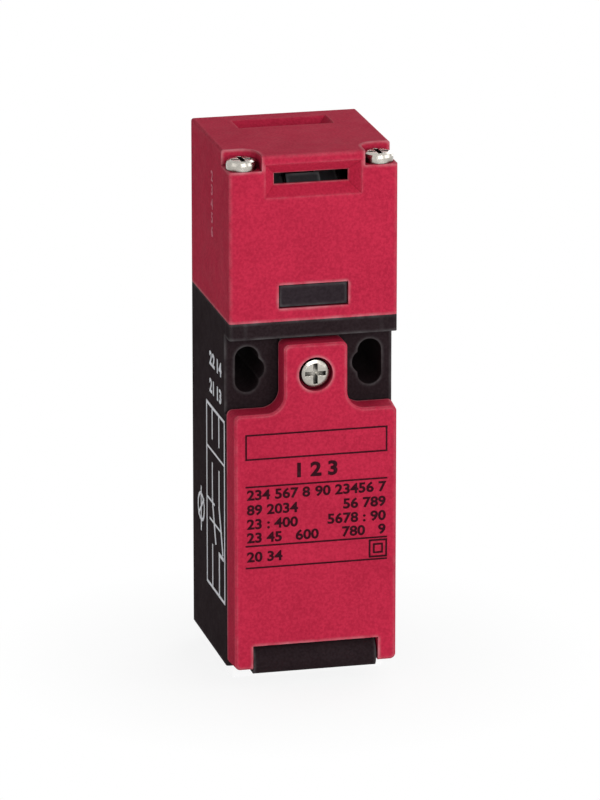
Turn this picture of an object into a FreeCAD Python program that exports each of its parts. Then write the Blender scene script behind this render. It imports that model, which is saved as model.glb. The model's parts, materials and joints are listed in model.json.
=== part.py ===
import FreeCAD, Part
import math
import os
import re
import Sketcher

# Tongue interlock switch: a plastic case, a hinged front cover and a square turret head.
# Millimetres. X is right, Y goes back from the front cover, Z is up.
# The origin is the centre of the bounding box's bottom face.

doc = FreeCAD.newDocument("TongueInterlockSwitch")
sheet = doc.addObject("Spreadsheet::Sheet", "Sizes")

# Driving sizes
SIZES = {
    # Case
    "case_width": 30.0,
    "parting_setback": 3.0,
    "shoulder_height": 47.7,
    "collar_height": 3.0,
    "foot_height": 0.5,
    "side_wall": 2.8,
    "back_wall": 2.6,
    "cavity_floor": 10.5,
    "rim_height": 2.5,
    "cavity_round": 1.5,
    "edge_round": 0.5,
    "recess_depth": 1.0,
    "recess_drop": 1.0,
    "pad_inset": 0.35,
    # Cable entry, an M16 x 1.5 core bore
    "entry_radius": 7.19,
    "entry_offset": 1.5,
    "entry_chamfer": 0.8,
    "foot_margin": 2.0,
    # Fixing holes
    "hole_radius": 2.15,
    "slot_length": 8.3,
    "slot_edge": 4.0,
    "hole_shift": 1.0,
    "fixing_rise": 6.7,
    "stud_radius": 1.5,
    "stud_depth": 4.0,
    "stud_height": 5.5,
    # Front cover
    "cover_proud": 1.8,
    "cover_gap": 0.2,
    "cover_inset": 0.5,
    "cover_draft": 0.4,
    "cover_bottom": 1.1,
    "neck_half_width": 5.65,
    "neck_length": 12.2,
    "neck_gap": 0.9,
    "neck_fillet": 3.2,
    "cover_corner": 1.0,
    "cover_edge": 0.35,
    "cover_wall": 2.5,
    "front_wall": 1.9,
    "hollow_inset": 0.25,
    # Cover seal
    "groove_land": 0.7,
    "groove_width": 1.3,
    "groove_depth": 0.9,
    "seal_proud": 0.1,
    "seal_round": 0.5,
    # Cover hinge
    "hinge_height": 1.9,
    "hinge_setback": 1.0,
    "lip_radius": 3.3,
    "lip_inset": 3.9,
    "lip_gap": 0.2,
    "trunnion_radius": 0.75,
    "trunnion_length": 1.1,
    "trunnion_root": 0.5,
    "running_gap": 0.1,
    "leg_round": 0.7,
    # Screws, M3 on the outside
    "screw_radius": 1.4,
    "screw_head": 2.65,
    "screw_head_height": 1.7,
    "screw_dome": 0.75,
    "cross_width": 0.8,
    "cross_depth": 1.1,
    "cross_margin": 0.8,
    "screw_gap": 0.2,
    "insert_gap": 0.05,
    # Cover screw
    "cover_screw_sink": 0.4,
    "counterbore_gap": 0.4,
    "insert_wall": 0.7,
    "cover_insert_gap": 0.3,
    "cover_insert_length": 6.0,
    "cover_screw_bite": 3.7,
    "retainer_radius": 2.6,
    "retainer_thickness": 0.6,
    "retainer_setback": 0.4,
    # Turret head
    "head_height": 29.7,
    "head_wall": 2.5,
    "head_top": 2.5,
    "screw_inset": 2.85,
    "column_radius": 3.2,
    "notch_radius": 3.0,
    "notch_depth": 2.7,
    "turret_insert_length": 2.6,
    "turret_insert_radius": 2.2,
    # Tongue slots
    "slot_half_width": 6.6,
    "slot_thickness": 2.0,
    "slot_to_top": 4.6,
    "funnel_flare": 2.0,
    "funnel_depth": 2.0,
    # Catches in the windows
    "window_half_width": 6.2,
    "window_rise": 0.1,
    "window_height": 4.2,
    "catch_gap": 0.2,
    "catch_sink": 0.4,
    "catch_root": 2.9,
    # Head frame
    "plate_gap": 0.2,
    "plate_thickness": 2.2,
    "cheek_gap": 0.4,
    "cheek_thickness": 2.0,
    "cheek_radius": 6.5,
    "side_room": 2.1,
    "spigot_inset": 2.9,
    "spigot_height": 1.6,
    "spigot_gap": 0.2,
    "guide_wall": 1.8,
    "guide_height": 3.0,
    "head_seal_inset": 0.6,
    "head_seal_width": 1.2,
    "head_seal_height": 0.8,
    # Cam
    "cam_floor_gap": 1.7,
    "tooth_reach": 1.4,
    "tongue_gap": 0.2,
    "disc_margin": 0.7,
    "spiral_drop": 0.8,
    "cam_lift": 3.0,
    "cam_turn": 60.0,
    "lobe_margin": 10.0,
    "relief_angle": 104.0,
    "flank_angle": 3.0,
    "notch_mouth": 3.0,
    "key_notch_depth": 3.4,
    "front_notch_angle": 32.0,
    "axle_radius": 2.0,
    "axle_gap": 0.06,
    "clip_width": 1.2,
    "clip_thickness": 0.6,
    # Push rod
    "rod_radius": 2.3,
    "rod_tip_gap": 0.45,
    "rod_clearance": 0.5,
    "rod_bevel": 1.6,
    "plunger_seal_width": 2.6,
    "plunger_seal_height": 1.6,
    # Contact block
    "block_gap": 0.4,
    "block_top_gap": 0.7,
    "block_height": 27.5,
    "block_floor": 1.6,
    "front_half_depth": 3.2,
    "split_offset": 0.6,
    "channel_gap": 0.3,
    "carrier_half_width": 2.4,
    "carrier_half_depth": 2.5,
    "carrier_rest_gap": 2.0,
    "chamber_gap": 0.6,
    "plateau_gap": 1.0,
    "plateau_depth": 3.3,
    "rib_half_width": 1.2,
    "rib_depth": 4.3,
    "block_screw_inset": 1.6,
    "block_screw_radius": 1.0,
    "block_screw_head": 1.5,
    "block_screw_head_height": 1.4,
    "block_screw_room": 0.3,
    "block_screw_bite": 1.8,
    # Contacts
    "strip_thickness": 0.8,
    "strip_wall": 1.8,
    "strip_inset": 1.4,
    "strip_height": 6.4,
    "upper_leg_drop": 7.6,
    "lower_leg_rise": 5.9,
    "terminal_rise": 3.7,
    "clamp_half_size": 2.6,
    "clamp_thickness": 0.9,
    "terminal_head": 2.4,
    "rivet_inset": 1.7,
    "rivet_radius": 1.2,
    "rivet_height": 0.7,
    "leg_margin": 0.4,
    "touch_gap": 0.3,
    "bridge_half_width": 1.6,
    "bridge_thickness": 0.8,
    "bridge_rivet": 0.6,
    "bridge_window": 3.1,
    # Springs
    "wire_width": 0.5,
    "wire_height": 0.35,
    "return_spring_radius": 1.6,
    "return_spring_turns": 6,
    "pocket_gap": 0.15,
    "pocket_web": 0.9,
    "contact_spring_radius": 1.0,
    "contact_spring_turns": 4,
}

# Places and sizes that follow from the driving ones
PLACES = {
    # Depth, from the square head outwards
    "half_case": "case_width / 2",
    "back_face": "(case_width + cover_proud) / 2",
    "cover_front": "-back_face",
    "turret_axis": "back_face - half_case",
    "head_front": "turret_axis - half_case",
    "parting": "head_front + parting_setback",
    "cover_back": "parting - cover_gap",
    "recess_floor": "parting + recess_depth",
    "hinge_depth": "parting - hinge_setback",
    "entry_depth": "turret_axis + entry_offset",
    "cavity_back": "back_face - back_wall",
    # Height, from the foot up
    "cavity_ceiling": "shoulder_height - rim_height",
    "fixing_height": "shoulder_height + fixing_rise",
    "neck_top": "shoulder_height + neck_length",
    "case_height": "neck_top + neck_gap",
    "collar_top": "case_height + collar_height",
    "plate_top": "collar_top + plate_thickness",
    "guide_top": "plate_top + guide_height",
    "head_top_face": "collar_top + head_height",
    "slot_height_axis": "head_top_face - slot_to_top",
    "tooth_bottom": "guide_top + cam_floor_gap",
    "tooth_radius": "(slot_height_axis + tooth_reach - tooth_bottom) / 2",
    "cam_height": "tooth_bottom + tooth_radius",
    "slot_depth_axis": "turret_axis + tooth_radius - tooth_reach",
    # Fixing holes and case details
    "slot_middle": "half_case - slot_edge",
    "hole_middle": "slot_middle - hole_shift",
    "pad_half_width": "neck_half_width - pad_inset",
    "lip_half_width": "half_case - lip_inset",
    "socket_floor": "collar_top - spigot_height - spigot_gap",
    "seal_seat": "socket_floor - plunger_seal_height",
    "insert_floor": "collar_top - turret_insert_length",
    # Cover
    "cover_front_half": "half_case - cover_inset",
    "cover_back_half": "cover_front_half + cover_draft",
    "hollow_half_width": "cover_front_half - cover_wall",
    "hollow_bottom": "cavity_floor + hollow_inset",
    "hollow_top": "cavity_ceiling - hollow_inset",
    "hollow_front": "cover_front + front_wall",
    "groove_reach": "groove_land + groove_width",
    "groove_floor": "cover_back - groove_depth",
    "cover_seat": "cover_front + cover_screw_sink + screw_head_height",
    "cover_insert_bore": "screw_radius + cover_insert_gap",
    "retainer_back": "cover_back - retainer_setback",
    # Head
    "head_ceiling": "head_top_face - head_top",
    "head_inside": "half_case - head_wall",
    "screw_spread": "half_case - screw_inset",
    "front_screws": "turret_axis - screw_spread",
    "notch_floor": "head_top_face - notch_depth",
    "funnel_half_width": "slot_half_width + funnel_flare",
    "funnel_half_height": "slot_thickness / 2 + funnel_flare",
    "window_floor": "plate_top + window_rise",
    "plate_radius": "head_inside - plate_gap",
    "spigot_radius": "plate_radius - spigot_inset",
    "head_seal_outer": "plate_radius - head_seal_inset",
    "head_seal_inner": "head_seal_outer - head_seal_width",
    "cam_half_width": "head_inside - side_room - 2 * clip_thickness - cheek_thickness - cheek_gap",
    "cheek_inner": "cam_half_width + cheek_gap",
    "cheek_outer": "cheek_inner + cheek_thickness",
    "clip_radius": "axle_radius + clip_width",
    # Cam and push rod
    "barrel_radius": "tooth_radius - tooth_reach - slot_thickness / 2 - tongue_gap",
    "spiral_start": "tooth_radius - spiral_drop",
    "disc_half_width": "rod_radius + disc_margin",
    "rod_tip": "cam_height - spiral_start - rod_tip_gap",
    "rod_bore": "rod_radius + rod_clearance",
    "rod_guide": "rod_radius + running_gap",
    "guide_radius": "rod_guide + guide_wall",
    "plunger_seal_radius": "rod_guide + plunger_seal_width",
    # Contact block
    "block_half_width": "half_case - side_wall - block_gap",
    "block_top": "cavity_ceiling - block_top_gap",
    "block_bottom": "block_top - block_height",
    "channel_floor": "block_bottom + block_floor",
    "channel_half": "carrier_half_width + channel_gap",
    "carrier_front": "turret_axis - carrier_half_depth",
    "carrier_back": "turret_axis + carrier_half_depth",
    "carrier_bottom": "channel_floor + carrier_rest_gap",
    "carrier_top": "block_top - cam_lift",
    "block_split": "carrier_front + split_offset",
    "block_front": "block_split - front_half_depth",
    "block_screw_x": "block_half_width - block_screw_inset",
    "plateau_half_width": "block_screw_x - block_screw_head - block_screw_room",
    # Contacts, from the fixed legs to the bridges at rest
    "upper_leg": "block_top - upper_leg_drop",
    "lower_leg": "block_bottom + lower_leg_rise",
    "strip_inner": "channel_half + strip_wall",
    "strip_outer": "block_half_width - strip_inset",
    "strip_front": "block_front - strip_thickness",
    "strip_back": "turret_axis + bridge_half_width",
    "terminal_x": "(strip_inner + strip_outer) / 2",
    "upper_terminal": "upper_leg + terminal_rise",
    "lower_terminal": "lower_leg + strip_thickness - terminal_rise",
    "clamp_front": "strip_front - clamp_thickness",
    "rivet_x": "strip_inner + rivet_inset",
    "leg_outer": "rivet_x + rivet_radius + leg_margin",
    "bridge_half_length": "rivet_x + rivet_radius",
    "closed_bridge": "upper_leg - rivet_height - touch_gap - cam_lift - bridge_rivet - bridge_thickness",
    "open_bridge": "lower_leg + strip_thickness + rivet_height + touch_gap + bridge_rivet",
    "closed_window": "closed_bridge + bridge_thickness - bridge_window",
    "open_window_top": "open_bridge + bridge_window",
    "pocket_top": "open_bridge - pocket_web",
    "pocket_radius": "return_spring_radius + wire_width / 2 + pocket_gap",
    "chamber_half_width": "bridge_half_length + chamber_gap",
    "chamber_bottom": "lower_leg - chamber_gap",
    "chamber_top": "upper_leg + strip_thickness + chamber_gap",
    "block_screw_height": "(upper_leg + lower_leg + strip_thickness) / 2",
}

for row, (name, number) in enumerate(SIZES.items(), start=1):
    sheet.set(f"A{row}", str(number))
    sheet.setAlias(f"A{row}", name)
for row, (name, formula) in enumerate(PLACES.items(), start=1):
    sheet.set(f"C{row}", "=" + formula)
    sheet.setAlias(f"C{row}", name)
doc.recompute()

NAMES = set(SIZES) | set(PLACES)
# How far a cutting tool runs past the face that it opens, near and far
LEAD = 1.0
OVERRUN = 5.0
SPRING_SIDES = 12
LOBE_STEPS = 12
TURNS = {
    "X": FreeCAD.Rotation(FreeCAD.Vector(0, 1, 0), 90),
    "Y": FreeCAD.Rotation(FreeCAD.Vector(1, 0, 0), -90),
    "Z": FreeCAD.Rotation(),
}


def full(expression):
    """The expression with each size named as a cell of the sheet."""
    return re.sub(r"[a-z_]+", lambda word: "Sizes." * (word[0] in NAMES) + word[0], str(expression))


def value(expression):
    """The number that an expression of sizes stands for now."""
    return float(sheet.evalExpression(full(expression)))


def bind(thing, target, expression):
    """Tie one property of a thing to an expression of sizes."""
    thing.setExpression(target, full(expression))


def block(name, x, y, z):
    """A box between a low and a high expression on each axis."""
    thing = doc.addObject("Part::Box", name)
    for side, axis, (low, high) in zip(("Length", "Width", "Height"), "xyz", (x, y, z)):
        bind(thing, side, f"({high}) - ({low})")
        bind(thing, f"Placement.Base.{axis}", low)
    return thing


def cylinder(name, axis, centre, span, radius):
    """A cylinder along an axis, its centre given on the other two, in X, Y, Z order."""
    thing = doc.addObject("Part::Cylinder", name)
    thing.Placement = FreeCAD.Placement(FreeCAD.Vector(), TURNS[axis])
    across = [letter for letter in "XYZ" if letter != axis]
    bind(thing, "Radius", radius)
    bind(thing, "Height", f"({span[1]}) - ({span[0]})")
    bind(thing, f"Placement.Base.{axis.lower()}", span[0])
    for letter, place in zip(across, centre):
        bind(thing, f"Placement.Base.{letter.lower()}", place)
    return thing


def cone(name, centre, span, low_radius, high_radius):
    """A cut-off cone along Z."""
    thing = doc.addObject("Part::Cone", name)
    bind(thing, "Radius1", low_radius)
    bind(thing, "Radius2", high_radius)
    bind(thing, "Height", f"({span[1]}) - ({span[0]})")
    for letter, place in zip("xyz", (*centre, span[0])):
        bind(thing, f"Placement.Base.{letter}", place)
    return thing


def fuse(name, *things):
    thing = doc.addObject("Part::MultiFuse", name)
    thing.Shapes = list(things)
    return thing


def cut(name, base, *tools):
    thing = doc.addObject("Part::Cut", name)
    thing.Base = base
    thing.Tool = tools[0] if len(tools) == 1 else fuse(name + "_tools", *tools)
    return thing


def group(name, things):
    """Separate solids that share one node."""
    thing = doc.addObject("Part::Compound", name)
    thing.Links = list(things)
    return thing


def rounded(name, base, radius, chosen, kind="Part::Fillet"):
    """The base with a round or a bevel on each edge that the test chooses by its ends."""
    doc.recompute()
    edges = []
    for index, edge in enumerate(base.Shape.Edges, start=1):
        if chosen(edge.Vertexes[0].Point, edge.Vertexes[-1].Point):
            edges.append((index, value(radius), value(radius)))
    thing = doc.addObject(kind, name)
    thing.Base = base
    thing.Edges = edges
    return thing


def upright(start, end):
    return abs(start.z - end.z) > 1 and abs(start.x - end.x) + abs(start.y - end.y) < 0.01


def lengthwise(start, end):
    return abs(start.y - end.y) > 0.5 and abs(start.x - end.x) + abs(start.z - end.z) < 0.01


def sides():
    """The two sides of the switch, as a name and a sign for expressions."""
    return (("left", "-"), ("right", ""))


def ring(name, axis, centre, span, outer, inner):
    """A plain ring, bored right through."""
    bore = (f"{span[0]} - {LEAD}", f"{span[1]} + {LEAD}")
    return cut(name, cylinder(name + "_outside", axis, centre, span, outer),
               cylinder(name + "_bore", axis, centre, bore, inner))


def screw(name, pose, head, head_height, shank, length, domed=False):
    """A screw with a cross recess: seat at the local origin, head up, shank down."""
    middle = ("0", "0")
    solids = [cylinder(name + "_stem", "Z", middle, (f"-({length})", "0"), shank)]
    if domed:
        brim = f"{head_height} - screw_dome"
        turn = f"{head_height} - screw_dome * (1 - {math.sqrt(0.5)})"
        neck = f"{head} - screw_dome * (1 - {math.sqrt(0.5)})"
        solids += [cylinder(name + "_brim", "Z", middle, ("0", brim), head),
                   cone(name + "_dome_side", middle, (brim, turn), head, neck),
                   cone(name + "_dome_top", middle, (turn, head_height), neck, f"{head} - screw_dome")]
    else:
        solids.append(cylinder(name + "_head", "Z", middle, ("0", head_height), head))
    recess = (f"{head_height} - cross_depth", f"{head_height} + {LEAD}")
    long_arm = (f"-({head} - cross_margin)", f"{head} - cross_margin")
    short_arm = ("-cross_width / 2", "cross_width / 2")
    arms = (block(name + "_arm_across", long_arm, short_arm, recess),
            block(name + "_arm_along", short_arm, long_arm, recess))
    thing = cut(name, fuse(name + "_solid", *solids), *arms)
    x, y, z, facing_front = pose
    if facing_front:
        thing.Placement = FreeCAD.Placement(FreeCAD.Vector(), FreeCAD.Rotation(FreeCAD.Vector(1, 0, 0), 90))
    for axis, place in zip("xyz", (x, y, z)):
        bind(thing, f"Placement.Base.{axis}", place)
    return thing


def outline(body, name, plane, offset, points):
    """A closed sketch on one of the body's own planes, with every corner tied to the sheet."""
    role = f"{plane}_Plane"
    base = next(feature for feature in body.Origin.OriginFeatures if feature.Role == role)
    sketch = body.newObject("Sketcher::SketchObject", name)
    sketch.AttachmentSupport = [(base, "")]
    sketch.MapMode = "FlatFace"
    bind(sketch, "AttachmentOffset.Base.z", offset)
    places = [FreeCAD.Vector(value(across), value(up), 0) for across, up in points]
    count = len(points)
    for index, start in enumerate(places):
        sketch.addGeometry(Part.LineSegment(start, places[(index + 1) % count]), False)
    for index in range(count):
        sketch.addConstraint(Sketcher.Constraint("Coincident", index, 2, (index + 1) % count, 1))
    for index, (across, up) in enumerate(points):
        for kind, expression in (("DistanceX", across), ("DistanceY", up)):
            datum = Sketcher.Constraint(kind, -1, 1, index, 1, value(expression))
            place = sketch.addConstraint(datum)
            sketch.renameConstraint(place, f"{kind}_{index}")
            bind(sketch, f"Constraints.{kind}_{index}", expression)
    return sketch


def make_case():
    """The black case: cavity, cable entry, fixing holes, collar for the head and hinge lip."""
    sides_x = ("-half_case", "half_case")
    shell = block("case_shell", sides_x, ("parting", "back_face"), ("foot_height", "case_height"))
    collar = block("case_collar", sides_x, ("head_front", "back_face"), ("case_height", "collar_top"))
    round_shell = rounded("case_shell_round", shell, "edge_round", upright)
    round_collar = rounded("case_collar_round", collar, "edge_round", upright)
    foot = block("case_foot", ("-lip_half_width", "lip_half_width"),
                 ("hinge_depth", "entry_depth + entry_radius + foot_margin"), ("0", "cavity_floor / 2"))
    barrel = cylinder("lip_barrel", "X", ("hinge_depth", "hinge_height"),
                      ("-lip_half_width", "lip_half_width"), "lip_radius")
    below = block("lip_below", ("-half_case", "half_case"), ("cover_front", "back_face"), ("-case_height", "0"))
    lip = cut("hinge_lip", barrel, below)
    solid = fuse("case_solid", round_shell, round_collar, foot, lip)

    cavity = block("case_cavity", ("-half_case + side_wall", "half_case - side_wall"),
                   (f"parting - {OVERRUN}", "cavity_back"), ("cavity_floor", "cavity_ceiling"))
    tools = [rounded("case_cavity_round", cavity, "cavity_round", lengthwise)]
    tools.append(cylinder("entry_bore", "Z", ("0", "entry_depth"), (f"-{OVERRUN}", f"cavity_floor + {LEAD}"),
                          "entry_radius"))
    tools.append(cone("entry_mouth", ("0", "entry_depth"), ("0", "entry_chamfer"),
                      "entry_radius + entry_chamfer", "entry_radius"))
    for side, sign in sides():
        tools.append(block(f"recess_{side}", *recess_span(sign)))
        tools.extend(fixing_hole(side, sign))
        tools.append(cylinder(f"stud_hole_{side}", "Y", (f"{sign}hole_middle", "stud_height"),
                              ("back_face - stud_depth", f"back_face + {OVERRUN}"), "stud_radius"))
        tools.append(cylinder(f"trunnion_hole_{side}", "X", ("hinge_depth", "hinge_height"),
                              trunnion_span(sign, "trunnion_length + lip_gap", LEAD),
                              "trunnion_radius + running_gap"))
        tools.append(cylinder(f"block_screw_hole_{side}", "Y", (f"{sign}block_screw_x", "block_screw_height"),
                              (f"cavity_back - {LEAD}", "cavity_back + block_screw_bite"),
                              "block_screw_radius + insert_gap"))
        for end, direction in (("front", "-"), ("back", "+")):
            tools.append(cylinder(f"turret_hole_{side}_{end}", "Z",
                                  (f"{sign}screw_spread", f"turret_axis {direction} screw_spread"),
                                  ("insert_floor", f"collar_top + {OVERRUN}"), "turret_insert_radius"))
    tools.append(cylinder("rod_passage", "Z", ("0", "turret_axis"), (f"cavity_ceiling - {LEAD}", "collar_top"),
                          "rod_bore"))
    tools.append(cylinder("plunger_seal_seat", "Z", ("0", "turret_axis"), ("seal_seat", "collar_top"),
                          "plunger_seal_radius"))
    tools.append(cylinder("spigot_socket", "Z", ("0", "turret_axis"),
                          ("socket_floor", f"collar_top + {OVERRUN}"), "spigot_radius + spigot_gap"))
    tools.append(ring("head_seal_groove", "Z", ("0", "turret_axis"),
                      ("collar_top - head_seal_height", f"collar_top + {OVERRUN}"),
                      "head_seal_outer + insert_gap", "head_seal_inner - insert_gap"))
    tools.append(cylinder("cover_insert_hole", "Y", ("0", "fixing_height"),
                          (f"parting - {OVERRUN}", "parting + cover_insert_length"),
                          "cover_insert_bore + insert_wall"))
    return cut("body_case", solid, *tools)


def recess_span(sign):
    """The stepped-back face beside the cover's neck, on one side."""
    spans = [f"{sign}(half_case + {OVERRUN})", f"{sign}pad_half_width"]
    across = tuple(spans) if sign else tuple(reversed(spans))
    return across, (f"parting - {OVERRUN}", "recess_floor"), ("shoulder_height - recess_drop", "case_height")


def trunnion_span(sign, inwards, outwards):
    """A stretch of the hinge line about one end of the lip."""
    inner = f"{sign}(lip_half_width + lip_gap - ({inwards}))"
    outer = f"{sign}(lip_half_width + lip_gap + ({outwards}))"
    return (outer, inner) if sign else (inner, outer)


def fixing_hole(side, sign):
    """A slot along Z that overlaps a round hole nearer the middle."""
    through = (f"recess_floor - {LEAD}", f"back_face + {OVERRUN}")
    middle = f"{sign}slot_middle"
    reach = "(slot_length / 2 - hole_radius)"
    pieces = [cylinder(f"fixing_round_{side}", "Y", (f"{sign}hole_middle", "fixing_height"),
                       through, "hole_radius")]
    for end, direction in (("low", "-"), ("high", "+")):
        pieces.append(cylinder(f"fixing_{end}_{side}", "Y", (middle, f"fixing_height {direction} {reach}"),
                               through, "hole_radius"))
    pieces.append(block(f"fixing_slot_{side}", (f"{middle} - hole_radius", f"{middle} + hole_radius"), through,
                        (f"fixing_height - {reach}", f"fixing_height + {reach}")))
    return pieces


def cover_outline(half):
    """The front view of the cover: a wide foot, shoulders and a neck for the screw."""
    right = [(half, "cover_bottom"), (half, "shoulder_height"), ("neck_half_width", "shoulder_height"),
             ("neck_half_width", "neck_top")]
    left = [(f"-({across})", up) for across, up in reversed(right)]
    return right + left


def draft_block():
    """The block that slopes the cover's two sides in towards the front."""
    slopes = doc.addObject("Part::Wedge", "cover_slopes")
    for side, sign in (("min", "-"), ("max", "")):
        bind(slopes, f"X{side}", f"{sign}cover_front_half")
        bind(slopes, f"X2{side}", f"{sign}cover_back_half")
    for prefix in ("Z", "Z2"):
        bind(slopes, prefix + "min", "0")
        bind(slopes, prefix + "max", "case_height")
    slopes.Ymin = 0
    bind(slopes, "Ymax", "cover_back - cover_front")
    bind(slopes, "Placement.Base.y", "cover_front")
    return slopes


def make_cover():
    """The red front cover with drafted sides, its hollow, groove, neck and hinge legs."""
    body = doc.addObject("PartDesign::Body", "cover_body")
    sketch = outline(body, "cover_outline", "XZ", "-cover_back", cover_outline("cover_back_half"))
    pad = body.newObject("PartDesign::Pad", "cover_pad")
    pad.Profile = sketch
    bind(pad, "Length", "cover_back - cover_front")
    drafted = doc.addObject("Part::Common", "cover_drafted")
    drafted.Base = body
    drafted.Tool = draft_block()
    doc.recompute()
    neck = value("neck_half_width")
    shoulder = value("shoulder_height")

    def at_neck(start, end):
        return along_depth(start, end) and abs(start.z - shoulder) < 0.01 and abs(abs(start.x) - neck) < 0.01

    def at_corner(start, end):
        return along_depth(start, end) and not at_neck(start, end)

    curved = rounded("cover_neck_round", drafted, "neck_fillet", at_neck)
    cornered = rounded("cover_corner_round", curved, "cover_corner", at_corner)
    front_y = value("cover_front")
    edged = rounded("cover_edge_bevel", cornered, "cover_edge",
                    lambda start, end: abs(start.y - front_y) < 0.01 and abs(end.y - front_y) < 0.01,
                    "Part::Chamfer")
    opening = ("lip_half_width + lip_gap", "hinge_height + lip_radius + lip_gap")
    tools = [block("cover_mouth", (f"-({opening[0]})", opening[0]), (f"cover_front - {OVERRUN}", "parting"),
                   (f"-{OVERRUN}", opening[1]))]
    hollow = block("cover_hollow", ("-hollow_half_width", "hollow_half_width"), ("hollow_front", "parting"),
                   ("hollow_bottom", "hollow_top"))
    tools.append(rounded("cover_hollow_round", hollow, "cavity_round", lengthwise))
    tools.append(seal_ring("cover_groove", "groove_floor", "parting"))
    tools.append(cylinder("cover_counterbore", "Y", ("0", "fixing_height"),
                          (f"cover_front - {OVERRUN}", "cover_seat"), "screw_head + counterbore_gap"))
    tools.append(cylinder("cover_screw_hole", "Y", ("0", "fixing_height"), ("cover_front", "parting"),
                          "screw_radius + screw_gap"))
    tools.append(cylinder("retainer_pocket", "Y", ("0", "fixing_height"),
                          ("retainer_back - retainer_thickness", "parting"), "retainer_radius + screw_gap"))
    tools.append(leg_corner())
    shell = cut("cover_shell", edged, *tools)
    trunnions = [cylinder(f"trunnion_{side}", "X", ("hinge_depth", "hinge_height"),
                          trunnion_span(sign, "trunnion_length", "trunnion_root"), "trunnion_radius")
                 for side, sign in sides()]
    return fuse("front_cover", shell, *trunnions)


def leg_corner():
    """What a round takes off the hidden lower edge of the cover, so that its legs clear the case."""
    across = ("-half_case", "half_case")
    corner = block("leg_corner", across, ("cover_back - leg_round", f"cover_back + {LEAD}"),
                   (f"cover_bottom - {LEAD}", "cover_bottom + leg_round"))
    keep = cylinder("leg_round_bar", "X", ("cover_back - leg_round", "cover_bottom + leg_round"),
                    ("-case_width", "case_width"), "leg_round")
    return cut("leg_round_cut", corner, keep)


def along_depth(start, end):
    """True for an edge that runs from the front of the cover to its back."""
    return abs(start.y - end.y) > 1 and abs(start.z - end.z) < 0.01


def seal_ring(name, front, back):
    """The band round the cover's hollow that the seal fills."""
    outer, inner = (block(name + label, (f"-(hollow_half_width + {reach})", f"hollow_half_width + {reach}"),
                          (front, back), (f"hollow_bottom - {reach}", f"hollow_top + {reach}"))
                    for label, reach in (("_outside", "groove_reach"), ("_inside", "groove_land")))
    return cut(name, rounded(name + "_outside_round", outer, "cavity_round", lengthwise),
               rounded(name + "_inside_round", inner, "seal_round", lengthwise))


def funnel(name):
    """A four-sided mouth that narrows over its depth along local Y."""
    mouth = doc.addObject("Part::Wedge", name)
    for side, sign in (("min", "-"), ("max", "")):
        bind(mouth, f"X{side}", f"{sign}funnel_half_width")
        bind(mouth, f"X2{side}", f"{sign}slot_half_width")
        bind(mouth, f"Z{side}", f"{sign}funnel_half_height")
        bind(mouth, f"Z2{side}", f"{sign}slot_thickness / 2")
    mouth.Ymin = 0
    bind(mouth, "Ymax", "funnel_depth")
    return mouth


def make_head_shell():
    """The red turret: a square hood with two tongue slots, catch windows and screw notches."""
    sides_x = ("-half_case", "half_case")
    box = block("head_box", sides_x, ("head_front", "back_face"), ("collar_top", "head_top_face"))
    base_z = value("collar_top")
    hood = rounded("head_box_round", box, "edge_round",
                   lambda start, end: max(start.z, end.z) > base_z + 0.01)
    inside = block("head_inside_box", ("-head_inside", "head_inside"),
                   ("turret_axis - head_inside", "turret_axis + head_inside"),
                   (f"collar_top - {OVERRUN}", "head_ceiling"))
    hollow = rounded("head_inside_round", inside, "edge_round", upright)
    columns = []
    tools = []
    for side, sign in sides():
        place = (f"{sign}screw_spread", "front_screws")
        columns.append(cylinder(f"head_column_{side}", "Z", place, ("collar_top", "head_ceiling"),
                                "column_radius"))
        tools.append(cylinder(f"head_screw_hole_{side}", "Z", place,
                              (f"collar_top - {OVERRUN}", f"head_top_face + {OVERRUN}"),
                              "screw_radius + screw_gap"))
        near = f"{sign}(screw_spread - notch_radius)"
        far = f"{sign}(half_case + {OVERRUN})"
        notch = block(f"head_notch_box_{side}", (far, near) if sign else (near, far),
                      (f"head_front - {OVERRUN}", "front_screws + notch_radius"),
                      ("notch_floor", f"head_top_face + {OVERRUN}"))
        tools.append(rounded(f"head_notch_{side}", notch, "notch_radius", at_inner_corner(near)))
    shell = cut("head_hood", hood, hollow)
    clip = rounded("head_clip_round", clip_block(), "edge_round", upright)
    column_pair = fuse("head_column_pair", *columns)
    clipped = doc.addObject("Part::MultiCommon", "head_columns")
    clipped.Shapes = [column_pair, clip]
    solid = fuse("head_solid", shell, clipped)

    front_mouth = funnel("front_funnel")
    bind(front_mouth, "Placement.Base.y", "head_front")
    bind(front_mouth, "Placement.Base.z", "slot_height_axis")
    top_mouth = funnel("top_funnel")
    top_mouth.Placement = FreeCAD.Placement(FreeCAD.Vector(), TURNS["Y"])
    bind(top_mouth, "Placement.Base.y", "slot_depth_axis")
    bind(top_mouth, "Placement.Base.z", "head_top_face")
    slot_x = ("-slot_half_width", "slot_half_width")
    tools += [front_mouth, top_mouth]
    tools.append(block("front_slot", slot_x, (f"head_front - {LEAD}", f"turret_axis - head_inside + {LEAD}"),
                       ("slot_height_axis - slot_thickness / 2", "slot_height_axis + slot_thickness / 2")))
    tools.append(block("top_slot", slot_x, ("slot_depth_axis - slot_thickness / 2",
                                            "slot_depth_axis + slot_thickness / 2"),
                       (f"head_ceiling - {LEAD}", f"head_top_face + {LEAD}")))
    window_z = ("window_floor", "window_floor + window_height")
    tools.append(block("catch_windows", ("-window_half_width", "window_half_width"),
                       (f"head_front - {OVERRUN}", f"back_face + {OVERRUN}"), window_z))
    return cut("head_shell", solid, *tools)


def clip_block():
    """A second head block, which clips the screw columns to the head's outline."""
    return block("head_clip", ("-half_case", "half_case"), ("head_front", "back_face"),
                 ("collar_top", "head_top_face"))


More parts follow.
